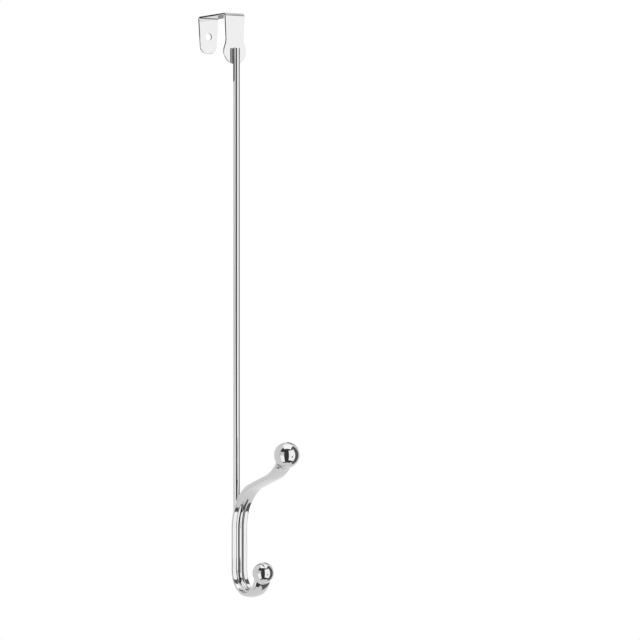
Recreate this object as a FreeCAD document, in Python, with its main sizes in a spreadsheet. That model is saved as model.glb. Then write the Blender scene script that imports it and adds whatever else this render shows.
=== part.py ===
"""Over door hook: a folded steel bracket, a drop rod and a cast double hook.

Frame, in millimetres: +Z is up and -Y points away from the door, to the person using the hook.
The origin is on the door's top edge, midway through the door's thickness and on the hook's
plane of symmetry, which is X = 0.
"""
import FreeCAD, Part
import math
import os
import Sketcher

os.makedirs("parts", exist_ok=True)
doc = FreeCAD.newDocument("over_door_hook")

# Driving dimensions. Lengths are in millimetres and turns are in degrees.
SIZES = [
    # The bracket, folded from one strip of sheet
    ("door_gap", 44.5, "clear gap between the two legs, for a door 1 3/4 inch thick"),
    ("sheet_thickness", 1.5, "thickness of the folded sheet"),
    ("bend_inner_radius", 1.0, "radius inside each fold"),
    ("strap_width", 20.0, "width of the strap over the door and of both legs at the folds"),
    ("shoulder_radius", 40.0, "gentle curve where each leg starts to taper, just below its fold"),
    ("neck_width", 18.2, "width of the front leg where it starts to swell into the disc"),
    ("neck_blend", 15.0, "radius of the hollow curve from the front leg into the disc"),
    ("disc_diameter", 22.8, "round end of the front leg, which carries the rod"),
    ("disc_drop", 32.5, "door's top edge down to the centre of the disc"),
    ("rear_leg_length", 31.5, "door's top edge down to the end of the rear leg"),
    ("rear_end_width", 16.8, "width of the rear leg where its corners start to round"),
    ("rear_corner_radius", 6.5, "rounding of the rear leg's two lower corners"),
    ("screw_hole", 6.6, "diameter of the screw hole in the rear leg"),
    ("screw_drop", 16.2, "door's top edge down to the centre of the screw hole"),
    ("rim_deburr", 0.3, "bevel along the sheet's cut edges"),
    # The drop rod, a straight length of round wire
    ("rod_diameter", 6.0, "diameter of the rod"),
    ("rod_top_drop", 29.5, "door's top edge down to the rod's upper end"),
    ("rod_lap", 30.0, "length of rod that lies along the hook's shank"),
    ("weld_flat", 0.3, "depth of the flat that welding presses into the rod's upper end"),
    ("rod_end_bevel", 0.5, "bevel round the rod's two ends"),
    # The double hook, one casting: an oval bar with a ball on each end
    ("hook_drop", 455.1, "door's top edge down to the top of the straight shank"),
    ("shank_offset", 4.7, "rod's axis forward to the bar's centreline"),
    ("shank_length", 35.4, "length of the straight shank"),
    ("bar_width", 15.5, "width of the oval bar, across the hook"),
    ("bar_thickness", 6.4, "thickness of the oval bar"),
    ("bar_side_radius", 2.2, "radius of the oval's two round sides"),
    ("arm_radius", 41.3, "centreline radius where the upper arm leans forward"),
    ("arm_turn", 72.5, "turn of that curve"),
    ("arm_run", 27.5, "straight run in the middle of the upper arm"),
    ("rise_radius", 41.6, "centreline radius where the upper arm turns up again"),
    ("rise_turn", 45.0, "turn of that curve"),
    ("lower_radius", 20.3, "centreline radius of the lower hook"),
    ("lower_turn", 177.5, "turn of the lower hook"),
    ("upper_ball", 22.4, "diameter of the upper ball"),
    ("lower_ball", 18.6, "diameter of the lower ball"),
    ("ball_blend", 1.5, "radius of the fillet between the bar and each ball"),
]

sheet = doc.addObject("Spreadsheet::Sheet", "sizes")
for row, (alias, number, note) in enumerate(SIZES, start=1):
    sheet.set(f"A{row}", alias)
    sheet.set(f"B{row}", str(number))
    sheet.set(f"C{row}", note)
    sheet.setAlias(f"B{row}", alias)
doc.recompute()

# Places that more than one piece uses, as sums of the driving dimensions
HALF_GAP = "sizes.door_gap / 2"
FRONT_FACE = f"({HALF_GAP} + sizes.sheet_thickness)"
ROD_AXIS = f"({FRONT_FACE} + sizes.rod_diameter / 2 - sizes.weld_flat)"
BAR_AXIS = f"({ROD_AXIS} + sizes.shank_offset)"
ROD_BOTTOM_DROP = "(sizes.hook_drop + sizes.rod_lap)"
DISC_BOTTOM = "(sizes.disc_drop + sizes.disc_diameter / 2)"
# The crown of the oval bar touches both of its round sides, which settles the crown's radius
SIDE_SPREAD = "(sizes.bar_width / 2 - sizes.bar_side_radius)"
CROWN_RADIUS = (
    f"(({SIDE_SPREAD}^2 + (sizes.bar_thickness / 2)^2 - sizes.bar_side_radius^2)"
    " / (sizes.bar_thickness - 2 * sizes.bar_side_radius))"
)


def value(text):
    """The number that a sum of driving dimensions comes to."""
    return float(sheet.evalExpression(text))


def point(x, y):
    return FreeCAD.Vector(x, y, 0)


def new_body(label):
    body = doc.addObject("PartDesign::Body", label)
    body.Label = label
    return body


def plane_of(body, role):
    """One of a body's own three origin planes, such as XY_Plane."""
    return next(item for item in body.Origin.OriginFeatures if item.Role == role)


def new_sketch(body, name, role, offset=None):
    """A sketch on an origin plane, moved along that plane's normal by a sum of dimensions."""
    sketch = body.newObject("Sketcher::SketchObject", name)
    sketch.AttachmentSupport = [(plane_of(body, role), "")]
    sketch.MapMode = "FlatFace"
    if offset:
        sketch.setExpression("AttachmentOffset.Base.z", offset)
    return sketch


def rule(sketch, kind, *picks):
    """A constraint that carries no dimension."""
    sketch.addConstraint(Sketcher.Constraint(kind, *picks))


def size(sketch, name, kind, picks, text):
    """A constraint whose dimension is tied to the sheet."""
    number = value(text)
    if kind == "Angle":
        number = math.radians(number)
    index = sketch.addConstraint(Sketcher.Constraint(kind, *picks, number))
    sketch.renameConstraint(index, name)
    sketch.setExpression(f"Constraints.{name}", text)


def circle(centre_x, centre_y, radius):
    return Part.Circle(point(centre_x, centre_y), FreeCAD.Vector(0, 0, 1), radius)


def arc(centre_x, centre_y, radius, start, end):
    """A circular arc, counter-clockwise between two directions in degrees."""
    return Part.ArcOfCircle(circle(centre_x, centre_y, radius), math.radians(start), math.radians(end))


def line(x1, y1, x2, y2):
    return Part.LineSegment(point(x1, y1), point(x2, y2))


# A sketch names its own origin as point 1 of element -1, and its upright axis as element -2.
ORIGIN = (-1, 1)
LEVEL = -1
UPRIGHT = -2
START, END, CENTRE = 1, 2, 3
# Two lengths that differ by less than this are taken as the same
MATCH = 0.01


def pad(body, name, sketch, length, midplane=False, reverse=False):
    feature = body.newObject("PartDesign::Pad", name)
    feature.Profile = sketch
    feature.setExpression("Length", length)
    feature.Midplane = midplane
    feature.Reversed = reverse
    sketch.Visibility = False
    return feature


def pocket(body, name, sketch, midplane=False, reverse=False):
    """A cut right through, which has to take material away."""
    doc.recompute()
    before = body.Shape.Volume
    feature = body.newObject("PartDesign::Pocket", name)
    feature.Profile = sketch
    feature.Type = "ThroughAll"
    feature.Midplane = midplane
    feature.Reversed = reverse
    doc.recompute()
    if not body.Shape.Volume < before:
        raise RuntimeError(f"{name} cuts nothing")
    return feature


def faces_at(shape, edge):
    """The faces that meet along an edge."""
    return [face for face in shape.Faces if any(edge.isSame(other) for other in face.Edges)]


def dress(body, kind, name, size_name, text, wanted):
    """A fillet or chamfer on the edges of the body's last feature that a test picks."""
    doc.recompute()
    tip = body.Tip
    numbered = enumerate(tip.Shape.Edges, start=1)
    edges = [f"Edge{number}" for number, edge in numbered if wanted(tip.Shape, edge)]
    feature = body.newObject(f"PartDesign::{kind}", name)
    feature.Base = (tip, edges)
    feature.setExpression(size_name, text)
    return feature


# The bracket. The strap and its two folds are one profile, padded to the strap's width.
# Each leg is a flat plate below its fold.
def fold_profile(body):
    sketch = new_sketch(body, "fold_profile", "YZ_Plane")
    half = value(HALF_GAP)
    inner = value("sizes.bend_inner_radius")
    outer = inner + value("sizes.sheet_thickness")
    top = value("sizes.sheet_thickness")
    bend = half - inner
    # The front fold is at -Y, which is the sketch's left. Elements run clockwise from its lower edge.
    sketch.addGeometry([
        line(-half, -inner, -bend - outer, -inner),
        arc(-bend, -inner, outer, 90, 180),
        line(-bend, top, bend, top),
        arc(bend, -inner, outer, 0, 90),
        line(bend + outer, -inner, half, -inner),
        arc(bend, -inner, inner, 0, 90),
        line(bend, 0, -bend, 0),
        arc(-bend, -inner, inner, 90, 180),
    ], False)
    rule(sketch, "Coincident", 0, END, 1, END)
    rule(sketch, "Tangent", 1, START, 2, START)
    rule(sketch, "Tangent", 2, END, 3, END)
    rule(sketch, "Coincident", 3, START, 4, START)
    rule(sketch, "Coincident", 4, END, 5, START)
    rule(sketch, "Tangent", 5, END, 6, START)
    rule(sketch, "Tangent", 6, END, 7, START)
    rule(sketch, "Coincident", 7, END, 0, START)
    rule(sketch, "Horizontal", 0)
    rule(sketch, "Horizontal", 2)
    rule(sketch, "Horizontal", 4)
    rule(sketch, "Coincident", 1, CENTRE, 7, CENTRE)
    rule(sketch, "Coincident", 3, CENTRE, 5, CENTRE)
    rule(sketch, "Equal", 5, 7)
    rule(sketch, "Horizontal", 0, START, 1, CENTRE)
    rule(sketch, "Horizontal", 4, START, 3, CENTRE)
    rule(sketch, "Symmetric", 0, START, 4, END, UPRIGHT)
    size(sketch, "gap", "DistanceX", (0, START, 4, END), "sizes.door_gap")
    size(sketch, "inner_radius", "Radius", (5,), "sizes.bend_inner_radius")
    size(sketch, "thickness", "Distance", (0,), "sizes.sheet_thickness")
    rule(sketch, "PointOnObject", 6, START, LEVEL)
    return sketch


def leg_outline(body, name, inner_face, end_width, end_z):
    """The part of a leg's outline that both legs share, drawn as elements 0 to 4.

    It is the straight edge at the fold, a shoulder on each side, and the two sides that taper
    down to a width at a height. The caller closes it with elements that start at 5.
    """
    sketch = new_sketch(body, name, "XZ_Plane", inner_face)
    top = -value("sizes.bend_inner_radius")
    half = value("sizes.strap_width / 2")
    shoulder = value("sizes.shoulder_radius")
    end = value(f"{end_width} / 2")
    taper = math.degrees(math.atan((half - end) / (top - end_z)))
    knee_x = half - shoulder * (1 - math.cos(math.radians(taper)))
    knee_z = top - shoulder * math.sin(math.radians(taper))
    sketch.addGeometry([
        line(-half, top, half, top),
        arc(half - shoulder, top, shoulder, 360 - taper, 360),
        line(knee_x, knee_z, end, end_z),
        line(-end, end_z, -knee_x, knee_z),
        arc(shoulder - half, top, shoulder, 180, 180 + taper),
    ], False)
    rule(sketch, "Coincident", 0, END, 1, END)
    rule(sketch, "Tangent", 1, START, 2, START)
    rule(sketch, "Tangent", 3, END, 4, END)
    rule(sketch, "Coincident", 4, START, 0, START)
    rule(sketch, "Horizontal", 0, END, 1, CENTRE)
    rule(sketch, "Horizontal", 0, START, 4, CENTRE)
    rule(sketch, "Equal", 1, 4)
    rule(sketch, "Symmetric", 0, START, 0, END, UPRIGHT)
    rule(sketch, "Symmetric", 2, END, 3, START, UPRIGHT)
    size(sketch, "width_at_fold", "DistanceX", (0, START, 0, END), "sizes.strap_width")
    size(sketch, "fold_depth", "DistanceY", (0, START, *ORIGIN), "sizes.bend_inner_radius")
    size(sketch, "shoulder", "Radius", (1,), "sizes.shoulder_radius")
    size(sketch, "width_at_end", "DistanceX", (3, START, 2, END), end_width)
    return sketch


def front_leg_outline(body):
    """Tapered sides that swell through two hollow curves into the disc."""
    neck = value("sizes.neck_width / 2")
    blend = value("sizes.neck_blend")
    radius = value("sizes.disc_diameter / 2")
    drop = -value("sizes.disc_drop")
    # A hollow curve touches the disc, so their centres are the sum of their radii apart.
    lean = math.degrees(math.acos((neck + blend) / (radius + blend)))
    height = drop + (radius + blend) * math.sin(math.radians(lean))
    sketch = leg_outline(body, "front_leg_outline", HALF_GAP, "sizes.neck_width", height)
    sketch.addGeometry([
        arc(neck + blend, height, blend, 180, 180 + lean),
        arc(0, drop, radius, 180 - lean, 360 + lean),
        arc(-neck - blend, height, blend, 360 - lean, 360),
    ], False)
    rule(sketch, "Tangent", 2, END, 5, START)
    rule(sketch, "Tangent", 5, END, 6, END)
    rule(sketch, "Tangent", 6, START, 7, START)
    rule(sketch, "Tangent", 7, END, 3, START)
    rule(sketch, "PointOnObject", 6, CENTRE, UPRIGHT)
    size(sketch, "blend", "Radius", (5,), "sizes.neck_blend")
    size(sketch, "disc", "Radius", (6,), "sizes.disc_diameter / 2")
    size(sketch, "disc_depth", "DistanceY", (6, CENTRE, *ORIGIN), "sizes.disc_drop")
    return sketch


def rear_leg_outline(body):
    """Tapered sides that end in two rounded corners."""
    end = value("sizes.rear_end_width / 2")
    corner = value("sizes.rear_corner_radius")
    bottom = -value("sizes.rear_leg_length")
    rear_face = f"-{HALF_GAP}"
    sketch = leg_outline(body, "rear_leg_outline", rear_face, "sizes.rear_end_width", bottom + corner)
    sketch.addGeometry([
        arc(end - corner, bottom + corner, corner, 270, 360),
        line(end - corner, bottom, corner - end, bottom),
        arc(corner - end, bottom + corner, corner, 180, 270),
    ], False)
    rule(sketch, "Tangent", 2, END, 5, END)
    rule(sketch, "Tangent", 5, START, 6, START)
    rule(sketch, "Tangent", 6, END, 7, END)
    rule(sketch, "Tangent", 7, START, 3, START)
    rule(sketch, "Horizontal", 6)
    size(sketch, "corner", "Radius", (5,), "sizes.rear_corner_radius")
    size(sketch, "length", "DistanceY", (6, END, *ORIGIN), "sizes.rear_leg_length")
    return sketch


def screw_hole_sketch(body):
    sketch = new_sketch(body, "screw_hole_sketch", "XZ_Plane", f"-{HALF_GAP}")
    sketch.addGeometry(circle(0, -value("sizes.screw_drop"), value("sizes.screw_hole / 2")), False)
    rule(sketch, "PointOnObject", 0, CENTRE, UPRIGHT)
    size(sketch, "radius", "Radius", (0,), "sizes.screw_hole / 2")
    size(sketch, "depth", "DistanceY", (0, CENTRE, *ORIGIN), "sizes.screw_drop")
    return sketch


def is_cut_rim(face):
    """The rim's faces stand square to the sheet: the flat sides of the folds and the legs' edges."""
    box = face.BoundBox
    if box.XLength < MATCH:
        return True
    in_leg = box.ZMax < MATCH - value("sizes.bend_inner_radius")
    return in_leg and abs(box.YLength - value("sizes.sheet_thickness")) < MATCH


def on_cut_rim(shape, edge):
    """True for an edge between the sheet's cut rim and one of its two broad faces."""
    sides = faces_at(shape, edge)
    return len(sides) == 2 and is_cut_rim(sides[0]) != is_cut_rim(sides[1])


def make_door_bracket():
    body = new_body("door_bracket")
    pad(body, "fold", fold_profile(body), "sizes.strap_width", midplane=True)
    pad(body, "front_leg", front_leg_outline(body), "sizes.sheet_thickness")
    pad(body, "rear_leg", rear_leg_outline(body), "sizes.sheet_thickness", reverse=True)
    dress(body, "Chamfer", "rim_deburring", "Size", "sizes.rim_deburr", on_cut_rim)
    pocket(body, "screw_hole_cut", screw_hole_sketch(body))
    return body


# The drop rod: round wire, with a flat pressed into the upper end where it is welded to the disc.
def weld_flat_sketch(body):
    """A box behind the disc's front face, from the disc's lower rim up past the rod's end."""
    sketch = new_sketch(body, "weld_flat_sketch", "YZ_Plane")
    face = -value(FRONT_FACE)
    back = -value(HALF_GAP)
    low = -value(DISC_BOTTOM)
    high = -value("sizes.bend_inner_radius")
    sketch.addGeometry([
        line(face, low, back, low),
        line(back, low, back, high),
        line(back, high, face, high),
        line(face, high, face, low),
    ], False)
    for side in range(4):
        rule(sketch, "Coincident", side, END, (side + 1) % 4, START)
    for side in (0, 2):
        rule(sketch, "Horizontal", side)
        rule(sketch, "Vertical", side + 1)
    size(sketch, "face", "DistanceX", (0, START, *ORIGIN), FRONT_FACE)
    size(sketch, "back", "DistanceX", (0, END, *ORIGIN), HALF_GAP)
    size(sketch, "low", "DistanceY", (0, START, *ORIGIN), DISC_BOTTOM)
    size(sketch, "high", "DistanceY", (2, START, *ORIGIN), "sizes.bend_inner_radius")
    return sketch


def make_drop_rod():
    body = new_body("drop_rod")
    sketch = new_sketch(body, "rod_section", "XY_Plane", f"-{ROD_BOTTOM_DROP}")
    sketch.addGeometry(circle(0, -value(ROD_AXIS), value("sizes.rod_diameter / 2")), False)
    rule(sketch, "PointOnObject", 0, CENTRE, UPRIGHT)
    size(sketch, "radius", "Radius", (0,), "sizes.rod_diameter / 2")
    size(sketch, "reach", "DistanceY", (0, CENTRE, *ORIGIN), ROD_AXIS)
    pad(body, "rod", sketch, f"{ROD_BOTTOM_DROP} - sizes.rod_top_drop")
    dress(body, "Chamfer", "end_bevels", "Size", "sizes.rod_end_bevel", lambda shape, edge: edge.Closed)
    pocket(body, "weld_flat_cut", weld_flat_sketch(body), midplane=True)
    return body


# The double hook. One oval section runs up the arm to the upper ball and down the shank to the
# lower ball, so both pipes start at the top of the straight shank.
def arm_path(body):
    sketch = new_sketch(body, "arm_path", "YZ_Plane")
    turn = value("sizes.arm_turn")
    radius = value("sizes.arm_radius")
    run = value("sizes.arm_run")
    rise = value("sizes.rise_radius")
    rise_turn = value("sizes.rise_turn")
    start_y, start_z = -value(BAR_AXIS), -value("sizes.hook_drop")
    lean = math.radians(turn)
    y1, z1 = start_y - radius + radius * math.cos(lean), start_z + radius * math.sin(lean)
    y2, z2 = y1 - run * math.sin(lean), z1 + run * math.cos(lean)
    centre_y, centre_z = y2 + rise * math.cos(lean), z2 + rise * math.sin(lean)
    sketch.addGeometry([
        arc(start_y - radius, start_z, radius, 0, turn),
        line(y1, z1, y2, z2),
        arc(centre_y, centre_z, rise, 180 + turn - rise_turn, 180 + turn),
    ], False)
    rule(sketch, "Horizontal", 0, START, 0, CENTRE)
    rule(sketch, "Tangent", 0, END, 1, START)
    rule(sketch, "Tangent", 1, END, 2, END)
    size(sketch, "reach", "DistanceX", (0, START, *ORIGIN), BAR_AXIS)
    size(sketch, "drop", "DistanceY", (0, START, *ORIGIN), "sizes.hook_drop")
    size(sketch, "lean_radius", "Radius", (0,), "sizes.arm_radius")
    size(sketch, "lean_turn", "Angle", (0,), "sizes.arm_turn")
    size(sketch, "run", "Distance", (1,), "sizes.arm_run")
    size(sketch, "rise_radius", "Radius", (2,), "sizes.rise_radius")
    size(sketch, "rise_turn", "Angle", (2,), "sizes.rise_turn")
    return sketch


def shank_path(body):
    sketch = new_sketch(body, "shank_path", "YZ_Plane")
    radius = value("sizes.lower_radius")
    turn = value("sizes.lower_turn")
    y, top = -value(BAR_AXIS), -value("sizes.hook_drop")
    bottom = top - value("sizes.shank_length")
    sketch.addGeometry([
        line(y, top, y, bottom),
        arc(y - radius, bottom, radius, 360 - turn, 360),
    ], False)
    rule(sketch, "Vertical", 0)
    rule(sketch, "Tangent", 0, END, 1, END)
    size(sketch, "reach", "DistanceX", (0, START, *ORIGIN), BAR_AXIS)
    size(sketch, "drop", "DistanceY", (0, START, *ORIGIN), "sizes.hook_drop")
    size(sketch, "length", "Distance", (0,), "sizes.shank_length")
    size(sketch, "radius", "Radius", (1,), "sizes.lower_radius")
    size(sketch, "turn", "Angle", (1,), "sizes.lower_turn")
    return sketch


def bar_section(body):
    """The oval, of two crowned faces and two round sides, with its long axis across the hook."""
    sketch = new_sketch(body, "bar_section", "XY_Plane", "-sizes.hook_drop")
    side = value("sizes.bar_side_radius")
    crown = value(CROWN_RADIUS)
    side_x = value(SIDE_SPREAD)
    rise = crown - value("sizes.bar_thickness / 2")
    y = -value(BAR_AXIS)
    lean = math.degrees(math.atan2(rise, side_x))
    # Each crown's centre lies beyond the bar's other crown, so the crowns are short, flat arcs.
    sketch.addGeometry([
        arc(side_x, y, side, -lean, lean),
        arc(0, y - rise, crown, lean, 180 - lean),
        arc(-side_x, y, side, 180 - lean, 180 + lean),
        arc(0, y + rise, crown, 180 + lean, 360 - lean),
    ], False)
    for element in range(4):
        rule(sketch, "Tangent", element, END, (element + 1) % 4, START)
    rule(sketch, "Symmetric", 0, CENTRE, 2, CENTRE, UPRIGHT)
    rule(sketch, "PointOnObject", 1, CENTRE, UPRIGHT)
    size(sketch, "reach", "DistanceY", (0, CENTRE, *ORIGIN), BAR_AXIS)
    size(sketch, "side_spread", "DistanceX", (2, CENTRE, 0, CENTRE), f"2 * {SIDE_SPREAD}")
    size(sketch, "side", "Radius", (0,), "sizes.bar_side_radius")
    size(sketch, "front_crown", "Radius", (3,), CROWN_RADIUS)
    size(sketch, "back_crown", "Radius", (1,), CROWN_RADIUS)
    return sketch


def pipe(body, name, section, path):
    feature = body.newObject("PartDesign::AdditivePipe", name)
    feature.Profile = section
    feature.Spine = (path, [f"Edge{n}" for n in range(1, len(path.Shape.Edges) + 1)])
    path.Visibility = False
    section.Visibility = False
    return feature


def ball(body, name, path, diameter):
    """A ball centred on the far end of a path."""
    start = FreeCAD.Vector(0, -value(BAR_AXIS), -value("sizes.hook_drop"))
    corners = path.Shape.Vertexes
    far = max(range(len(corners)), key=lambda n: corners[n].Point.distanceToPoint(start))
    feature = body.newObject("PartDesign::AdditiveSphere", name)
    feature.AttachmentSupport = [(path, f"Vertex{far + 1}")]
    feature.MapMode = "Translate"
    feature.setExpression("Radius", f"{diameter} / 2")
    return feature


def at_ball_neck(shape, edge):
    """True for an edge where a ball meets the bar."""
    sides = faces_at(shape, edge)
    round_sides = [face for face in sides if face.Surface.TypeId == "Part::GeomSphere"]
    return len(sides) == 2 and len(round_sides) == 1


def rod_groove_sketch(body):
    """The rod's own circle, at the height of its lower end."""
    sketch = new_sketch(body, "rod_groove_sketch", "XY_Plane", f"-{ROD_BOTTOM_DROP}")
    sketch.addGeometry(circle(0, -value(ROD_AXIS), value("sizes.rod_diameter / 2")), False)
    rule(sketch, "PointOnObject", 0, CENTRE, UPRIGHT)
    size(sketch, "radius", "Radius", (0,), "sizes.rod_diameter / 2")
    size(sketch, "reach", "DistanceY", (0, CENTRE, *ORIGIN), ROD_AXIS)
    return sketch


def make_double_hook():
    body = new_body("double_hook")
    arm = arm_path(body)
    shank = shank_path(body)
    section = bar_section(body)
    doc.recompute()
    pipe(body, "upper_arm", section, arm)
    pipe(body, "shank_and_lower_hook", section, shank)
    ball(body, "upper_ball", arm, "sizes.upper_ball")
    ball(body, "lower_ball", shank, "sizes.lower_ball")
    dress(body, "Fillet", "ball_blends", "Radius", "sizes.ball_blend", at_ball_neck)
    pocket(body, "rod_groove", rod_groove_sketch(body), reverse=True)
    return body


def check_document():
    """Every object has to be whole before anything is written."""
    doc.recompute()
    for item in doc.Objects:
        if "Invalid" in item.State or "Error" in item.State:
            raise RuntimeError(f"{item.Name} failed: {item.State}")


def export(body):
    shape = body.Shape
    if shape.isNull() or not shape.isValid() or len(shape.Solids) != 1:
        raise RuntimeError(f"{body.Label} isn't one valid solid")
    shape.exportStep(f"parts/{body.Label}.step")
    box = shape.optimalBoundingBox()
    print(f"{body.Label}: {shape.Volume:.1f} mm3, x {box.XMin:.2f} to {box.XMax:.2f},"
          f" y {box.YMin:.2f} to {box.YMax:.2f}, z {box.ZMin:.2f} to {box.ZMax:.2f}")


bodies = [make_door_bracket(), make_drop_rod(), make_double_hook()]
check_document()
for body in bodies:
    export(body)
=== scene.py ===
# %% [markdown]
# # A chrome plated over door hook
#
# The hook hangs on the top edge of a door. A folded steel bracket sits over the door, a drawn
# rod runs down from its front leg, and a cast double hook is welded to the rod's lower end.
# The shapes come from the CAD model. This lesson gives them their finish, their light and the
# camera, and makes the double hook again with the bead that runs down its front. It starts by
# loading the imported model, which stays where it is from here on.

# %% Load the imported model
import bmesh
import bpy
import math
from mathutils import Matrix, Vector


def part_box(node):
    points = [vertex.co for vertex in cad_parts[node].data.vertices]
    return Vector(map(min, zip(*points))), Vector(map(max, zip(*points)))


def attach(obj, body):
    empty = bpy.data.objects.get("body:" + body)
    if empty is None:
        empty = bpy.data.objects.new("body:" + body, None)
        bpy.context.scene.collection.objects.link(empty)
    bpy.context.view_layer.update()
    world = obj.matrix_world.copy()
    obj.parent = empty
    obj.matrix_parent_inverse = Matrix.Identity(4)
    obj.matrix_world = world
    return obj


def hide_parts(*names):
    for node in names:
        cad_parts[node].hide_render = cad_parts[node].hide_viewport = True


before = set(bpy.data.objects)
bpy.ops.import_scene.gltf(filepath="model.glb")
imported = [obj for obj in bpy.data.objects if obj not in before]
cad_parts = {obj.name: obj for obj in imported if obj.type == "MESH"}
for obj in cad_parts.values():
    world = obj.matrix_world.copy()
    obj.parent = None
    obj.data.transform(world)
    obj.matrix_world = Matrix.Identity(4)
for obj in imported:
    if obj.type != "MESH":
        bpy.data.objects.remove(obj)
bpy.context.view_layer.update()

# %% [markdown]
# ## The camera
#
# A long lens from nearly three metres away, about level with the middle of the rod and turned
# about a third of the way round to the left side, as seen from the front. It could stand closer
# with a shorter lens, but a long one keeps the rod as wide at the top as at the bottom.
# Standard is the plain view transform: it encodes the light for the screen and leaves its
# contrast alone.

# %% Set up the camera
CAMERA_TURN = math.radians(32.5)
CAMERA_PLACE = Vector((-1.4355, -2.41715, -0.2705))
LENS = 177.19
SENSOR = 36.0

ahead = Vector((math.sin(CAMERA_TURN), math.cos(CAMERA_TURN), 0.0))
image_right = Vector((math.cos(CAMERA_TURN), -math.sin(CAMERA_TURN), 0.0))
lens = bpy.data.cameras.new("camera")
lens.lens = LENS
lens.sensor_width = SENSOR
camera = bpy.data.objects.new("camera", lens)
camera.location = CAMERA_PLACE
camera.rotation_mode = "QUATERNION"
camera.rotation_quaternion = ahead.to_track_quat("-Z", "Y")
bpy.context.scene.collection.objects.link(camera)
bpy.context.scene.camera = camera
bpy.context.scene.view_settings.view_transform = "Standard"
print("camera looks along", [round(value, 3) for value in ahead])

# %% [markdown]
# ## Helpers for node trees
#
# Every finish below is a small network of nodes. It could be wired by hand in the editor, but a
# script makes it the same each time. Three short helpers keep the cells readable: one fills a
# socket, one adds a node, and one does arithmetic. A socket is given either a plain value or
# another node's output.


# %% Fill sockets and add nodes
def fill(tree, socket, value):
    """Links value to the socket if it is an output, or else stores it there."""
    if isinstance(value, bpy.types.NodeSocket):
        tree.links.new(value, socket)
    else:
        socket.default_value = value


def add_node(tree, kind, inputs=None, **settings):
    """Adds a node of this kind with its settings, and fills the inputs named or numbered."""
    node = tree.nodes.new(kind)
    for name, value in settings.items():
        setattr(node, name, value)
    for name, value in (inputs or {}).items():
        fill(tree, node.inputs[name], value)
    return node


def arithmetic(tree, operation, first, second=0.0):
    """The output of one Math node."""
    return add_node(
        tree, "ShaderNodeMath", {0: first, 1: second}, operation=operation
    ).outputs[0]


print("helpers:", fill.__name__, add_node.__name__, arithmetic.__name__)

# %% [markdown]
# ### Helpers for node groups
#
# An effect that several finishes share could be wired anew in each, but then a change would have
# to be made in all of them. So it goes into a group: a small tree of its own, with named inputs
# and outputs. It is made once and placed wherever it is needed, each time with other values.


# %% Open and place groups
def open_group(name, inputs, outputs):
    """A new shader node group. inputs maps a name to a default, outputs to a socket type."""
    group = bpy.data.node_groups.new(name, "ShaderNodeTree")
    for title, default in inputs.items():
        kind = "NodeSocketFloat" if isinstance(default, float) else "NodeSocketVector"
        socket = group.interface.new_socket(name=title, in_out="INPUT", socket_type=kind)
        if isinstance(default, float):
            socket.default_value = default
    for title, kind in outputs.items():
        group.interface.new_socket(name=title, in_out="OUTPUT", socket_type=kind)
    given = group.nodes.new("NodeGroupInput").outputs
    result = group.nodes.new("NodeGroupOutput").inputs
    return group, given, result


def place_group(tree, group, **inputs):
    """Puts a group into a tree and fills its inputs, where a name's _ stands for a space."""
    node = tree.nodes.new("ShaderNodeGroup")
    node.node_tree = group
    for name, value in inputs.items():
        fill(tree, node.inputs[name.replace("_", " ")], value)
    return node


print("helpers:", open_group.__name__, place_group.__name__)

# %% [markdown]
# ## The room that the chrome mirrors
#
# Polished chrome has hardly any colour of its own: it shows the room. A plain white room would
# make it a flat grey, so a studio hangs black cloth in front of the metal and puts softboxes
# before the cloth. Each softbox gives a long white streak, and the cloth between them gives
# the dark lines that draw the form. The cloth and the boxes could be objects, but here the room
# is painted on the world by direction, so that each edge falls just where the metal needs it.
# The panel group makes one soft-edged rectangle between four angles.


# %% Make the panel group
def edge_step(tree, value, edge, softness):
    """Rises smoothly from 0 to 1 as the value passes the edge."""
    return add_node(
        tree,
        "ShaderNodeMapRange",
        {
            "Value": value,
            "From Min": arithmetic(tree, "SUBTRACT", edge, softness),
            "From Max": arithmetic(tree, "ADD", edge, softness),
        },
        interpolation_type="SMOOTHSTEP",
    ).outputs["Result"]


panel, given, result = open_group(
    "room_panel",
    {
        "Across": 0.0,
        "Up": 0.0,
        "Left": -10.0,
        "Right": 10.0,
        "Bottom": -10.0,
        "Top": 10.0,
        "Softness": 1.0,
    },
    {"Mask": "NodeSocketFloat"},
)
mask = 1.0
for angle, low, high in (("Across", "Left", "Right"), ("Up", "Bottom", "Top")):
    begins = edge_step(panel, given[angle], given[low], given["Softness"])
    ends = edge_step(panel, given[angle], given[high], given["Softness"])
    between = arithmetic(panel, "SUBTRACT", begins, ends)
    mask = arithmetic(panel, "MULTIPLY", between, mask)
fill(panel, result["Mask"], mask)
print("panel group has", len(panel.nodes), "nodes")

# %% [markdown]
# ### Measure each direction
#
# A direction in the room is two angles: how far round it is from the camera, towards the right
# of the picture, and how high. Straight overhead these would pinch a panel to a point, because
# every way round meets there. So the panel overhead has its own two: how far it leans to the
# right, and how far over it is, from the camera at 0 to straight up at 90 and on to the back.

# %% Measure the room's directions
RADIAN_IN_DEGREES = 180.0 / math.pi

world = bpy.data.worlds.new("studio")
world.use_nodes = True
bpy.context.scene.world = world
room = world.node_tree
room.nodes.clear()
direction = add_node(room, "ShaderNodeTexCoord").outputs["Generated"]


def part_along(axis):
    """How far the direction goes along an axis."""
    return add_node(
        room, "ShaderNodeVectorMath", {0: direction, 1: axis}, operation="DOT_PRODUCT"
    ).outputs["Value"]


def in_degrees(radians):
    """An angle socket turned into degrees."""
    return arithmetic(room, "MULTIPLY", radians, RADIAN_IN_DEGREES)


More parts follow.
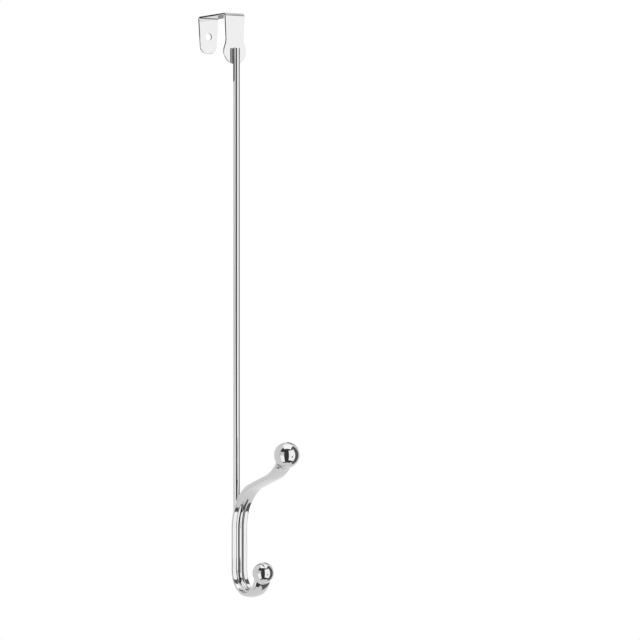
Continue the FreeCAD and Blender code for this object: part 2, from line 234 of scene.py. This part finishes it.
to_camera = part_along(-ahead)
to_right = part_along(image_right)
upward = part_along(Vector((0.0, 0.0, 1.0)))
round_angle = in_degrees(arithmetic(room, "ARCTAN2", to_right, to_camera))
height_angle = in_degrees(arithmetic(room, "ARCSINE", upward))
over_angle = in_degrees(arithmetic(room, "ARCTAN2", upward, to_camera))
side_angle = in_degrees(arithmetic(room, "ARCSINE", to_right))
print("room's directions are measured with", len(room.nodes), "nodes")

# %% [markdown]
# ### Hang the cloth and the softboxes
#
# Each row below is one panel: its angles in degrees, how soft its edges are, and how bright it
# is, where 1 is the white of the room. Later rows lie over earlier ones, as a softbox stands in
# front of the cloth.

# %% List the panels
ROOM_WHITE = 1.0
#         left, right, bottom, top, softness, brightness
PANELS = {
    "black cloth on the right": (-20.0, 128.0, -58.0, 61.0, 2.0, 0.15),
    "black cloth behind the camera": (-65.0, 60.0, -68.0, 60.0, 1.5, 0.06),
    "left softbox, dim upper part": (-63.0, -24.0, -58.0, 27.0, 3.0, 0.95),
    "left softbox, bright lower part": (-63.0, -24.0, -55.0, -1.5, 1.5, 1.5),
    "right softbox": (20.0, 80.5, -44.0, 41.0, 2.0, 1.5),
    "stand before the right softbox": (46.0, 55.0, -21.0, -6.0, 1.0, 0.1),
    "dark wall far behind the hook": (158.0, 181.0, 5.0, 40.0, 2.0, 0.2),
}
# The same for the panel overhead, in its own two angles.
OVERHEAD = (-21.0, 32.0, 60.5, 116.0, 2.0, 1.6)
print("room has", len(PANELS) + 1, "panels")


# %% Lay the panels over each other
def lay_over(below, across, up, panel_row):
    """The brightness below, with one panel laid over it."""
    left, right, bottom, top, softness, brightness = panel_row
    shape = place_group(
        room,
        panel,
        Across=across,
        Up=up,
        Left=left,
        Right=right,
        Bottom=bottom,
        Top=top,
        Softness=softness,
    )
    return add_node(
        room, "ShaderNodeMix", {0: shape.outputs["Mask"], 2: below, 3: brightness}
    ).outputs[0]


painted = ROOM_WHITE
for panel_row in PANELS.values():
    painted = lay_over(painted, round_angle, height_angle, panel_row)
painted = lay_over(painted, side_angle, over_angle, OVERHEAD)
print("painted room has", len(room.nodes), "nodes")

# %% [markdown]
# ### Keep the background white
#
# What is painted behind the hook would show in the picture too, where the background is plain
# white. It could be left white there, but the hook's upper edges mirror that part of the room.
# Light Path's Is Camera Ray tells the two apart: what the camera sees directly is white, and
# every other ray finds the painted room.

# %% Light the room
seen_directly = add_node(room, "ShaderNodeLightPath").outputs["Is Camera Ray"]
strength = add_node(
    room, "ShaderNodeMix", {0: seen_directly, 2: painted, 3: ROOM_WHITE}
).outputs[0]
white_light = add_node(
    room, "ShaderNodeBackground", {"Color": (1.0, 1.0, 1.0, 1.0), "Strength": strength}
)
add_node(room, "ShaderNodeOutputWorld", {"Surface": white_light.outputs["Background"]})
print("lit room has", len(room.nodes), "nodes")

# %% [markdown]
# ## Small cards beside the bracket
#
# Bright sheet in a bright room loses its edges. A photographer stands small dark cards close
# by such a part, just outside the picture, so that the thin cut edges and the folds mirror them
# and draw a dark line round the sheet. More cloth in the room would do that too, but it would
# also show in the balls. These cards are strips of one upright cylinder round the bracket. Only
# mirror rays meet them, and only close by, so they throw no shadow and don't show in the rest
# of the hook.

# %% List the cards
CARD_RADIUS = 0.085
CARD_MIDDLE = Vector((0.0, -0.005, 0.0))
CARD_REACH = 0.2
CARD_STEP = 4.0
# From and to are degrees round from the camera, bottom and top are metres.
#        from, to, bottom, top, tone
CARDS = {
    "front_card": (-12.0, -58.0, -0.018, 0.02, 0.05),
    "side_card": (-58.0, -150.0, -0.052, 0.02, 0.05),
    "back_card": (-150.0, -178.0, -0.052, 0.02, 0.4),
    "bend_card": (50.0, 80.0, 0.0095, 0.032, 0.05),
}
print("cards:", ", ".join(CARDS))


# %% Make the card paper
def card_paper(name, tone):
    """Paper that only rays from close by can see."""
    paper = bpy.data.materials.new(name)
    paper.use_nodes = True
    tree = paper.node_tree
    tree.nodes.clear()
    travelled = add_node(tree, "ShaderNodeLightPath").outputs["Ray Length"]
    far_off = arithmetic(tree, "GREATER_THAN", travelled, CARD_REACH)
    matt_paper = add_node(tree, "ShaderNodeBsdfDiffuse", {"Color": (tone, tone, tone, 1.0)})
    unseen = add_node(tree, "ShaderNodeBsdfTransparent")
    surface = add_node(
        tree,
        "ShaderNodeMixShader",
        {0: far_off, 1: matt_paper.outputs["BSDF"], 2: unseen.outputs["BSDF"]},
    )
    add_node(tree, "ShaderNodeOutputMaterial", {"Surface": surface.outputs["Shader"]})
    return paper


print("card paper is seen from up to", round(CARD_REACH * 1000), "mm away")


# %% Stand the cards
def card_foot(turn):
    """The place on the cards' cylinder this far round from the camera, in radians."""
    return CARD_MIDDLE + (image_right * math.sin(turn) - ahead * math.cos(turn)) * CARD_RADIUS


def stand_card(name, first, last, bottom, top, tone):
    """A strip of the cylinder round the bracket, from one angle to the other."""
    strip = bmesh.new()
    steps = math.ceil(abs(last - first) / CARD_STEP)
    columns = []
    for step in range(steps + 1):
        foot = card_foot(math.radians(first + (last - first) * step / steps))
        columns.append([strip.verts.new((foot.x, foot.y, level)) for level in (bottom, top)])
    for left_pair, right_pair in zip(columns, columns[1:]):
        strip.faces.new((left_pair[0], right_pair[0], right_pair[1], left_pair[1]))
    card_mesh = bpy.data.meshes.new(name)
    strip.to_mesh(card_mesh)
    strip.free()
    card_mesh.materials.append(card_paper(name, tone))
    card = bpy.data.objects.new(name, card_mesh)
    card.visible_camera = False
    card.visible_diffuse = False
    card.visible_shadow = False
    bpy.context.scene.collection.objects.link(card)


for name, card_row in CARDS.items():
    stand_card(name, *card_row)
print("cards stand", round(CARD_RADIUS * 1000), "mm from the bracket's middle")

# %% [markdown]
# ## The floor
#
# A door is about two metres high, so the floor lies that far below the bracket. It could be one
# large plane, but its far edge would show as a line against the room. So it is a pale matt disc
# that turns into plain white towards its rim, and keeps the hook's soft shadow. The chrome
# reads the painted room instead, which has the floor's place in it already.

# %% Lay the floor
DOOR_HEIGHT = 2.03
FLOOR_RADIUS = 4.0
FLOOR_SIDES = 96

floor_mesh = bpy.data.meshes.new("floor")
disc = bmesh.new()
bmesh.ops.create_circle(disc, cap_ends=True, radius=FLOOR_RADIUS, segments=FLOOR_SIDES)
disc.to_mesh(floor_mesh)
disc.free()
floor = bpy.data.objects.new("floor", floor_mesh)
floor.location = (0.0, 0.0, -DOOR_HEIGHT)
floor.visible_glossy = False
bpy.context.scene.collection.objects.link(floor)
print("floor at", -DOOR_HEIGHT, "m")

# %% Give the floor its pale finish
FADE_START = 1.2
FADE_END = 3.6
PALE = (0.83, 0.83, 0.83, 1.0)
PALER = (0.86, 0.86, 0.86, 1.0)
FLOOR_GRAIN = 60.0

matt = bpy.data.materials.new("pale_floor")
matt.use_nodes = True
tree = matt.node_tree
tree.nodes.clear()
spot = add_node(tree, "ShaderNodeTexCoord").outputs["Object"]
from_middle = add_node(
    tree, "ShaderNodeVectorMath", {0: spot}, operation="LENGTH"
).outputs["Value"]
fade = add_node(
    tree,
    "ShaderNodeMapRange",
    {"Value": from_middle, "From Min": FADE_START, "From Max": FADE_END},
    interpolation_type="SMOOTHSTEP",
).outputs["Result"]
grain = add_node(
    tree, "ShaderNodeTexNoise", {"Vector": spot, "Scale": FLOOR_GRAIN, "Detail": 4.0}
)
tone = add_node(
    tree,
    "ShaderNodeMix",
    {"Factor": grain.outputs["Fac"], "A": PALE, "B": PALER},
    data_type="RGBA",
)
matt_surface = add_node(tree, "ShaderNodeBsdfDiffuse", {"Color": tone.outputs[2]})
plain_white = add_node(
    tree, "ShaderNodeEmission", {"Color": (1.0, 1.0, 1.0, 1.0), "Strength": ROOM_WHITE}
)
floor_surface = add_node(
    tree,
    "ShaderNodeMixShader",
    {0: fade, 1: matt_surface.outputs["BSDF"], 2: plain_white.outputs["Emission"]},
)
add_node(tree, "ShaderNodeOutputMaterial", {"Surface": floor_surface.outputs["Shader"]})
floor_mesh.materials.append(matt)
print("floor turns white from", FADE_START, "to", FADE_END, "m")

# %% [markdown]
# ## What every plated piece shares
#
# Chrome is a thin hard skin over nickel on polished metal, and it keeps what the polishing left.
# Three effects come back in all the pieces, each with its own amounts, so each is a group:
# the tone of the plating, which is never quite even; the fine marks of the polishing belt or
# mop, which are long lines on the sheet and the rod; and the slow ripple under the shine, which
# makes the edges of the mirrored softboxes tremble a little. They could be painted as images,
# but noise laid in Object coordinates, which are metres here, needs no unwrapping and has no
# seams.

# %% Make the plating tone group
NOISE_MIDDLE = 0.5
# Chrome is a trace bluer than a neutral grey.
TRACE_OF_BLUE = 1.012

plating_tone, given, result = open_group(
    "plating_tone",
    {"Vector": None, "Patches": 40.0, "Brightness": 0.6, "Variation": 0.02},
    {"Color": "NodeSocketColor"},
)
patches = add_node(
    plating_tone,
    "ShaderNodeTexNoise",
    {"Vector": given["Vector"], "Scale": given["Patches"], "Detail": 3.0, "Roughness": 0.6},
).outputs["Fac"]
centred = arithmetic(plating_tone, "SUBTRACT", patches, NOISE_MIDDLE)
swing = arithmetic(plating_tone, "MULTIPLY", centred, given["Variation"])
level = arithmetic(plating_tone, "ADD", given["Brightness"], swing)
cooler = arithmetic(plating_tone, "MULTIPLY", level, TRACE_OF_BLUE)
tint = add_node(
    plating_tone, "ShaderNodeCombineColor", {"Red": level, "Green": level, "Blue": cooler}
)
fill(plating_tone, result["Color"], tint.outputs["Color"])
print("plating tone has", len(plating_tone.nodes), "nodes")

# %% Make the polishing lines group
# Only where the noise is above this is there a line.
LINES_FROM = 0.45

polishing_lines, given, result = open_group(
    "polishing_lines",
    {"Vector": None, "Stretch": None, "Gloss": 0.05, "Spread": 0.03},
    {"Roughness": "NodeSocketFloat"},
)
stretched = add_node(
    polishing_lines,
    "ShaderNodeVectorMath",
    {0: given["Vector"], 1: given["Stretch"]},
    operation="MULTIPLY",
).outputs["Vector"]
lines = add_node(
    polishing_lines,
    "ShaderNodeTexNoise",
    {"Vector": stretched, "Scale": 1.0, "Detail": 2.0, "Roughness": 0.5},
).outputs["Fac"]
over = arithmetic(polishing_lines, "SUBTRACT", lines, LINES_FROM)
above = arithmetic(polishing_lines, "MAXIMUM", over, 0.0)
extra = arithmetic(polishing_lines, "MULTIPLY", above, given["Spread"])
rougher = arithmetic(polishing_lines, "ADD", given["Gloss"], extra)
fill(polishing_lines, result["Roughness"], rougher)
print("polishing lines has", len(polishing_lines.nodes), "nodes")

# %% Make the slow ripple group
slow_ripple, given, result = open_group(
    "slow_ripple",
    {"Vector": None, "Waves": 60.0},
    {"Height": "NodeSocketFloat"},
)
waves = add_node(
    slow_ripple,
    "ShaderNodeTexNoise",
    {"Vector": given["Vector"], "Scale": given["Waves"], "Detail": 0.0},
).outputs["Fac"]
fill(slow_ripple, result["Height"], waves)
print("slow ripple has", len(slow_ripple.nodes), "nodes")

# %% [markdown]
# ## Three chromes
#
# The bracket is cut and folded from flat sheet, which is smooth before plating. The rod is
# drawn through a die, so it has the least ripple, and its polishing lines run along it. The
# hook is a casting smoothed by hand on a mop, so it has the most ripple. One chrome could serve
# them all, but these differences tell the pieces apart. Metallic is 1, and the base colour is
# the share of the light that chrome gives back, about six tenths.

# %% Make the chrome materials
CHROME = 0.575


def chrome(name, stretch, gloss, spread, waves, ripple):
    """A plated finish: ripple is the height of the slow waves in metres."""
    material = bpy.data.materials.new(name)
    material.use_nodes = True
    tree = material.node_tree
    tree.nodes.clear()
    place = add_node(tree, "ShaderNodeTexCoord").outputs["Object"]
    tone = place_group(tree, plating_tone, Vector=place, Brightness=CHROME)
    lines = place_group(
        tree, polishing_lines, Vector=place, Stretch=stretch, Gloss=gloss, Spread=spread
    )
    slow = place_group(tree, slow_ripple, Vector=place, Waves=waves)
    bump = add_node(
        tree,
        "ShaderNodeBump",
        {"Strength": 1.0, "Distance": ripple, "Height": slow.outputs["Height"]},
    )
    surface = add_node(
        tree,
        "ShaderNodeBsdfPrincipled",
        {
            "Base Color": tone.outputs["Color"],
            "Metallic": 1.0,
            "Roughness": lines.outputs["Roughness"],
            "Normal": bump.outputs["Normal"],
        },
    )
    add_node(tree, "ShaderNodeOutputMaterial", {"Surface": surface.outputs["BSDF"]})
    return material


pressed_sheet = chrome(
    "chrome_on_pressed_sheet",
    stretch=(900.0, 900.0, 40.0),
    gloss=0.04,
    spread=0.08,
    waves=45.0,
    ripple=0.00002,
)
drawn_wire = chrome(
    "chrome_on_drawn_wire",
    stretch=(1500.0, 1500.0, 30.0),
    gloss=0.04,
    spread=0.1,
    waves=30.0,
    ripple=0.00001,
)
casting = chrome(
    "chrome_on_casting",
    stretch=(300.0, 300.0, 300.0),
    gloss=0.04,
    spread=0.08,
    waves=60.0,
    ripple=0.00004,
)
print("chromes:", [material.name for material in (pressed_sheet, drawn_wire, casting)])

# %% [markdown]
# ## The double hook
#
# The hook is one casting. Down the shank and into the lower hook a round bead runs along the
# middle of its front, between two flat wings, as a stiffening rib does on many cast hooks. The
# bead is what draws the pair of dark lines down the shank. On the arm and towards the lower
# ball it fades out, and there the front is one flat, lightly crowned face. The bar could be a
# curve with a bevel profile, but then the balls would be separate spheres with a hard seam.
# Here the bar and both balls are one grid of points: rings of one section are laid along the
# path, and near a ball each point is pushed out to the ball.

# %% Set the section's sizes
HALF_WIDTH = 0.00775
HALF_THICKNESS = 0.0032
SIDE_RADIUS = 0.0022
WING_LEVEL = 0.0009
WING_CORNER = 0.0007
WING_END = HALF_WIDTH - WING_CORNER
BEAD_RADIUS = 0.00365
BEAD_CENTRE = HALF_THICKNESS - BEAD_RADIUS
BEAD_FILLET = 0.0012

# The back is one flat arc that runs into a round side at each end.
SIDE_CENTRE = HALF_WIDTH - SIDE_RADIUS
BACK_RISE = HALF_THICKNESS - SIDE_RADIUS
BACK_RADIUS = (SIDE_CENTRE**2 / BACK_RISE + HALF_THICKNESS + SIDE_RADIUS) / 2
BACK_CENTRE = BACK_RADIUS - HALF_THICKNESS
BACK_LEAN = math.degrees(math.atan2(BACK_CENTRE, SIDE_CENTRE))
print("hook's back has a radius of", round(BACK_RADIUS * 1000, 1), "mm")

# %% Draw the section
# How many steps each arc is drawn in.
CORNER_STEPS = 6
FILLET_STEPS = 9
BEAD_STEPS = 34
SIDE_STEPS = 12
BACK_STEPS = 22


def arc_points(across, out, radius, first, last, steps):
    """Points on an arc of the section, its angles in degrees from the across axis."""
    turns = [math.radians(first + (last - first) * step / steps) for step in range(steps + 1)]
    return [(across + radius * math.cos(turn), out + radius * math.sin(turn)) for turn in turns]


def right_wing(foot, fillet_across, fillet_out):
    """The front's right wing: its round corner, its flat, and the fillet up to the bead."""
    points = arc_points(WING_END, WING_LEVEL - WING_CORNER, WING_CORNER, 0, 90, CORNER_STEPS)
    points += [((WING_END + fillet_across) / 2, WING_LEVEL)]
    points += arc_points(fillet_across, fillet_out, BEAD_FILLET, 270, 180 + foot, FILLET_STEPS)
    return points


def plain_back():
    """The back, from the left side round to the right side."""
    left_end = 180 + BACK_LEAN
    right_end = 360 - BACK_LEAN
    points = arc_points(-SIDE_CENTRE, 0, SIDE_RADIUS, 180, left_end, SIDE_STEPS)
    points += arc_points(0, BACK_CENTRE, BACK_RADIUS, left_end, right_end, BACK_STEPS)[1:-1]
    points += arc_points(SIDE_CENTRE, 0, SIDE_RADIUS, right_end, 360, SIDE_STEPS)
    return points


def bar_section():
    """The closed section as (across, out) points, from the right side over the front."""
    fillet_out = WING_LEVEL + BEAD_FILLET
    rise = fillet_out - BEAD_CENTRE
    fillet_across = math.sqrt((BEAD_RADIUS + BEAD_FILLET) ** 2 - rise**2)
    foot = math.degrees(math.atan2(rise, fillet_across))
    right = right_wing(foot, fillet_across, fillet_out)
    bead = arc_points(0, BEAD_CENTRE, BEAD_RADIUS, foot, 180 - foot, BEAD_STEPS)[1:-1]
    left = [(-across, out) for across, out in reversed(right)]
    return right + bead + left + plain_back()


section = bar_section()
print("section has", len(section), "points")

# %% [markdown]
# ### The bar's path
#
# The bar's centreline is five stretches that run into each other without a kink: round the
# lower hook, up the straight shank, over into the arm, along it, and up to the ball. A spline
# through a few points would do, but arcs and straights keep to the CAD model's own sizes.

# %% Set the path's sizes
rod_low, rod_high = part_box("drop_rod")
ROD_AXIS = (rod_low[1] + rod_high[1]) / 2
ROD_RADIUS = (rod_high[0] - rod_low[0]) / 2
SHANK_OFFSET = 0.0047
SHANK_AXIS = ROD_AXIS - SHANK_OFFSET
SHANK_TOP = -0.4551
SHANK_LENGTH = 0.0354
LOWER_RADIUS = 0.0203
LOWER_TURN = math.radians(177.5)
ARM_RADIUS = 0.0413
ARM_TURN = math.radians(72.5)
ARM_RUN = 0.0275
RISE_RADIUS = 0.0416
RISE_TURN = math.radians(45.0)

# Each stretch is its length and how fast it turns. Seen from +X, anticlockwise is positive.
STRETCHES = [
    (LOWER_RADIUS * LOWER_TURN, 1 / LOWER_RADIUS),
    (SHANK_LENGTH, 0.0),
    (ARM_RADIUS * ARM_TURN, 1 / ARM_RADIUS),
    (ARM_RUN, 0.0),
    (RISE_RADIUS * RISE_TURN, -1 / RISE_RADIUS),
]
PATH_LENGTH = sum(length for length, bend in STRETCHES)
PATH_START = Vector(
    (
        0.0,
        SHANK_AXIS - LOWER_RADIUS + LOWER_RADIUS * math.cos(LOWER_TURN),
        SHANK_TOP - SHANK_LENGTH - LOWER_RADIUS * math.sin(LOWER_TURN),
    )
)
START_HEADING = math.pi / 2 - LOWER_TURN
print("bar is", round(PATH_LENGTH * 1000, 1), "mm long, ball to ball")


# %% Walk along the path
def along_bar(distance):
    """The place and the heading at this distance from the lower ball's centre."""
    place = PATH_START.copy()
    heading = START_HEADING
    for length, bend in STRETCHES:
        step = min(distance, length)
        if bend:
            later = heading + step * bend
            place.y += (math.sin(later) - math.sin(heading)) / bend
            place.z += (math.cos(heading) - math.cos(later)) / bend
            heading = later
        else:
            place.y += step * math.cos(heading)
            place.z += step * math.sin(heading)
        distance -= step
        if distance <= 0:
            break
    return place, heading


path_end, end_heading = along_bar(PATH_LENGTH)
print("upper ball's centre is at", [round(value * 1000, 1) for value in path_end], "mm")

# %% [markdown]
# ### Where the bead stands and where it fades
#
# The section has the bead at its full height. The bead could end in a sharp point, but the
# mirrored lines fade out slowly on the real hook. So each point of the front moves smoothly
# towards the plain face: the wings' level, raised a little and lightly crowned, which leaves
# the bar only half a millimetre thinner there.

# %% Let the bead rise and fade
FRONT_RAISE = 0.0008
FRONT_CROWN = 0.001
SHANK_FOOT = LOWER_RADIUS * LOWER_TURN
SHANK_HEAD = SHANK_FOOT + SHANK_LENGTH
# The bead rises between these shares of the lower hook's length, counted from its ball.
RISE_SHARES = (0.2, 0.6)
# It fades between these distances beyond the shank.
FADE_RUNS = (0.014, 0.034)
bead_rises = [SHANK_FOOT * share for share in RISE_SHARES]
bead_fades = [SHANK_HEAD + run for run in FADE_RUNS]


def plain_front(across, out):
    """The front of the bar at this point of the section where no bead stands on it."""
    crown = max(1 - (across / WING_END) ** 2, 0.0)
    return min(out, WING_LEVEL) + FRONT_RAISE + FRONT_CROWN * crown


def smooth_rise(value, start, end):
    """Rises smoothly from 0 at the start to 1 at the end."""
    share = min(max((value - start) / (end - start), 0.0), 1.0)
    return share * share * (3 - 2 * share)


def bead_share(distance):
    """1 where the bead stands at its full height, and 0 where the front is plain."""
    return smooth_rise(distance, *bead_rises) - smooth_rise(distance, *bead_fades)


full_height = [round(distance * 1000, 1) for distance in (bead_rises[1], bead_fades[0])]
print("bead is at its full height from", full_height[0], "to", full_height[1], "mm")

# %% [markdown]
# ### From the bar into the balls
#
# A casting has no sharp corner where the bar meets a ball. A Boolean union would leave one. Here
# each point of a ring looks outward from the bar's axis and lies on the section or on the ball,
# whichever is further out. A soft maximum rounds the change from one to the other into a small
# fillet.

# %% Blend the bar into the balls
LOWER_BALL = 0.0093
UPPER_BALL = 0.01118
NECK_SOFTNESS = 0.0018


def soft_maximum(first, second):
    """The greater of the two, rounded off where they are nearly equal."""
    nearness = max(NECK_SOFTNESS - abs(first - second), 0.0) / NECK_SOFTNESS
    return max(first, second) + nearness**2 * NECK_SOFTNESS / 4


def ball_reach(place, outward, centre, radius):
    """How far the ball's skin is from the place, going outward, or 0 beside the ball."""
    offset = place - centre
    if offset.length > radius:
        return 0.0
    lean = offset.dot(outward)
    return math.sqrt(lean**2 - offset.length_squared + radius**2) - lean


def outward_ways(heading, share):
    """For each point of the section, its unit direction from the bar's axis and its distance."""
    out_way = Vector((0.0, -math.sin(heading), math.cos(heading)))
    across_way = Vector((1.0, 0.0, 0.0))
    spokes = []
    for across, out in section:
        if out > 0:
            plain = plain_front(across, out)
            out = plain + (out - plain) * share
        spokes.append(across_way * across + out_way * out)
    return [(spoke.normalized(), spoke.length) for spoke in spokes]


def bar_ring(distance):
    """One ring of the bar, with the balls' swelling near its ends."""
    place, heading = along_bar(distance)
    ring = []
    for outward, reach in outward_ways(heading, bead_share(distance)):
        lower = ball_reach(place, outward, PATH_START, LOWER_BALL)
        upper = ball_reach(place, outward, path_end, UPPER_BALL)
        ring.append(place + outward * soft_maximum(reach, max(lower, upper)))
    return ring


print("each ring has", len(bar_ring(SHANK_HEAD)), "points")

# %% Cap each ball
POLE_STEPS = 30


def cap_rings(centre, heading, radius, side):
    """The rings of a ball's far half, from its middle towards its pole, and the pole."""
    forward = Vector((0.0, math.cos(heading), math.sin(heading))) * side
    ways = [outward for outward, reach in outward_ways(heading, 0.0)]
    rings = []
    for step in range(1, POLE_STEPS):
        turn = math.pi / 2 * step / POLE_STEPS
        ring = [centre + (way * math.cos(turn) + forward * math.sin(turn)) * radius for way in ways]
        rings.append(ring)
    return rings, centre + forward * radius


lower_cap, lower_pole = cap_rings(PATH_START, START_HEADING, LOWER_BALL, -1)
upper_cap, upper_pole = cap_rings(path_end, end_heading, UPPER_BALL, 1)
print("each cap has", len(upper_cap), "rings")

# %% Lay the rings of the hook
RING_SPACING = 0.0006
BALL_START = math.radians(8.0)
BALL_STEPS = 42


def ball_distances(radius):
    """Distances from a ball's centre that step evenly round the ball."""
    sweep = math.pi / 2 - BALL_START
    turns = [BALL_START + sweep * step / BALL_STEPS for step in range(BALL_STEPS)]
    return [radius * math.cos(turn) for turn in turns]


bar_from = LOWER_BALL * math.cos(BALL_START)
bar_to = PATH_LENGTH - UPPER_BALL * math.cos(BALL_START)
bar_steps = math.ceil((bar_to - bar_from) / RING_SPACING)
distances = [0.0] + sorted(ball_distances(LOWER_BALL))[:-1]
distances += [bar_from + (bar_to - bar_from) * step / bar_steps for step in range(bar_steps)]
distances += [PATH_LENGTH - distance for distance in ball_distances(UPPER_BALL)] + [PATH_LENGTH]
rings = list(reversed(lower_cap)) + [bar_ring(distance) for distance in distances] + upper_cap
print("hook has", len(rings), "rings")

# %% Join the rings into one skin
skin = bmesh.new()
ring_verts = [[skin.verts.new(point) for point in ring] for ring in rings]
around = len(section)
for low_ring, high_ring in zip(ring_verts, ring_verts[1:]):
    for one in range(around):
        two = (one + 1) % around
        skin.faces.new((low_ring[one], low_ring[two], high_ring[two], high_ring[one]))
for pole, ring in ((lower_pole, ring_verts[0]), (upper_pole, ring_verts[-1])):
    tip = skin.verts.new(pole)
    for one in range(around):
        skin.faces.new((ring[one], ring[(one + 1) % around], tip))
bmesh.ops.recalc_face_normals(skin, faces=skin.faces)
hook_mesh = bpy.data.meshes.new("cast_hook")
skin.to_mesh(hook_mesh)
skin.free()
hook = bpy.data.objects.new("cast_hook", hook_mesh)
bpy.context.scene.collection.objects.link(hook)
print("skin has", len(hook_mesh.polygons), "faces")

# %% [markdown]
# ### Cut the groove for the rod
#
# The rod lies in a groove in the back of the shank, where it is welded in. The groove could be
# drawn into the section, but it ends partway down the shank. So a Boolean modifier takes the
# rod's own cylinder out of the skin, and the result is kept as the hook's mesh.

# %% Make the rod's cylinder
GROOVE_TOP = -0.4
GROOVE_SIDES = 96

cutter_mesh = bpy.data.meshes.new("rod_groove")
groove = bmesh.new()
bmesh.ops.create_cone(
    groove,
    cap_ends=True,
    segments=GROOVE_SIDES,
    radius1=ROD_RADIUS,
    radius2=ROD_RADIUS,
    depth=GROOVE_TOP - rod_low[2],
)
groove_middle = (0.0, ROD_AXIS, (GROOVE_TOP + rod_low[2]) / 2)
bmesh.ops.translate(groove, verts=groove.verts, vec=groove_middle)
groove.to_mesh(cutter_mesh)
groove.free()
cutter = bpy.data.objects.new("rod_groove", cutter_mesh)
bpy.context.scene.collection.objects.link(cutter)
print("groove has a radius of", round(ROD_RADIUS * 1000, 2), "mm")

# %% Cut the groove
cut = hook.modifiers.new("rod_groove", "BOOLEAN")
cut.operation = "DIFFERENCE"
cut.solver = "EXACT"
cut.object = cutter
bpy.context.view_layer.update()
whole_hook = hook.evaluated_get(bpy.context.evaluated_depsgraph_get())
grooved_mesh = bpy.data.meshes.new_from_object(whole_hook)
hook.modifiers.remove(cut)
bpy.data.objects.remove(cutter)
hook.data = grooved_mesh
print("grooved hook has", len(grooved_mesh.polygons), "faces")

# %% Put the hook in its place
CREASE = math.radians(35.0)

grooved_mesh.shade_smooth()
grooved_mesh.set_sharp_from_angle(angle=CREASE)
hook.data.materials.clear()
hook.data.materials.append(casting)
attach(hook, "root")
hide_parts("double_hook")
print(hook.name, "stands in for double_hook")

# %% [markdown]
# ### The neck under the upper ball
#
# Right under the upper ball the real hook's mirror image breaks up into small dark marks, which
# may be dents that the mop didn't reach. They could be modelled, but none shows in the outline.
# So they are a second bump over the slow ripple, set so that it breaks the mirror image
# in much the same way. A mask keeps it to a band that begins just off the ball.

# %% Mask the neck
# The band rises and ends between these distances off the ball.
NECK_RISES = (0.0003, 0.0009)
NECK_ENDS = (0.003, 0.0054)

tree = casting.node_tree
place = add_node(tree, "ShaderNodeTexCoord").outputs["Object"]
away = add_node(
    tree, "ShaderNodeVectorMath", {0: place, 1: path_end}, operation="DISTANCE"
).outputs["Value"]
off_the_ball = arithmetic(tree, "SUBTRACT", away, UPPER_BALL)
edges = [
    add_node(
        tree,
        "ShaderNodeMapRange",
        {"Value": off_the_ball, "From Min": start, "From Max": end},
        interpolation_type="SMOOTHSTEP",
    ).outputs["Result"]
    for start, end in (NECK_RISES, NECK_ENDS)
]
neck_band = arithmetic(tree, "SUBTRACT", *edges)
print("neck band ends", round(NECK_ENDS[1] * 1000, 1), "mm off the upper ball")

# %% Leave the neck uneven
DENT_SCALE = 300.0
# The bump's Distance: it isn't the depth of a real dent.
DENT_DISTANCE = 0.012

dents = add_node(
    tree, "ShaderNodeTexNoise", {"Vector": place, "Scale": DENT_SCALE, "Detail": 1.0}
).outputs["Fac"]
dent_bump = add_node(
    tree,
    "ShaderNodeBump",
    {
        "Strength": 1.0,
        "Distance": DENT_DISTANCE,
        "Height": arithmetic(tree, "MULTIPLY", dents, neck_band),
        "Normal": tree.nodes["Bump"].outputs["Normal"],
    },
)
fill(tree, tree.nodes["Principled BSDF"].inputs["Normal"], dent_bump.outputs["Normal"])
print(casting.name, "has", len(tree.nodes), "nodes")

# %% [markdown]
# ## The bracket and the rod
#
# Both come from the CAD model as they are. They could be made again with finer meshes, but their
# folds, bevels and screw hole are in the CAD meshes already, so only their finish is set here.

# %% Give each carried piece its finish
FINISHES = {"door_bracket": pressed_sheet, "drop_rod": drawn_wire}
for name, finish in FINISHES.items():
    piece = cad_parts[name]
    piece.data.materials.clear()
    piece.data.materials.append(finish)
    low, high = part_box(name)
    print(name, "is", [round((far - near) * 1000, 1) for near, far in zip(low, high)], "mm")
